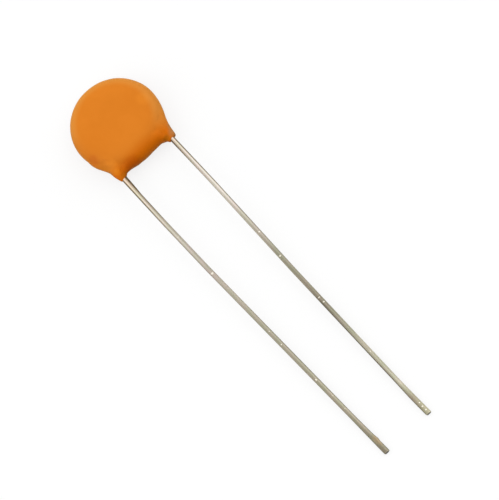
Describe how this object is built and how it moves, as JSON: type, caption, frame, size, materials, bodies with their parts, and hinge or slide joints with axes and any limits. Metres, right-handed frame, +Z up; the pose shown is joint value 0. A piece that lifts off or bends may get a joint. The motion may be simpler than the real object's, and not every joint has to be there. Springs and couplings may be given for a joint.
{
  "type": "ceramic disc capacitor",
  "caption": "Resin-dipped ceramic disc capacitor lying flat, with two long radial tinned wire leads cut square at their ends.",
  "frame": {"origin": "centre of the footprint of the whole part, on the surface that it lies on", "axes": "+Y from the cut ends of the leads to the disc, +Z up through the disc's faces, +X across the two leads, from the front lead to the rear lead"},
  "size_m": [0.0114, 0.0602, 0.0034],
  "materials": {
    "resin": "dipped orange resin, satin",
    "ceramic": "fired, unglazed",
    "silver": "fired silver paste, matt",
    "solder": "reflowed tin solder, satin",
    "tinned_wire": "dull drawn tin over copper, slightly yellowed"
  },
  "bodies": {
    "root": {"resin_coating": "resin", "ceramic_disc": "ceramic", "front_electrode": "silver", "rear_electrode": "silver", "front_solder": "solder", "rear_solder": "solder", "front_lead": "tinned_wire", "rear_lead": "tinned_wire"}
  },
  "joints": []
}
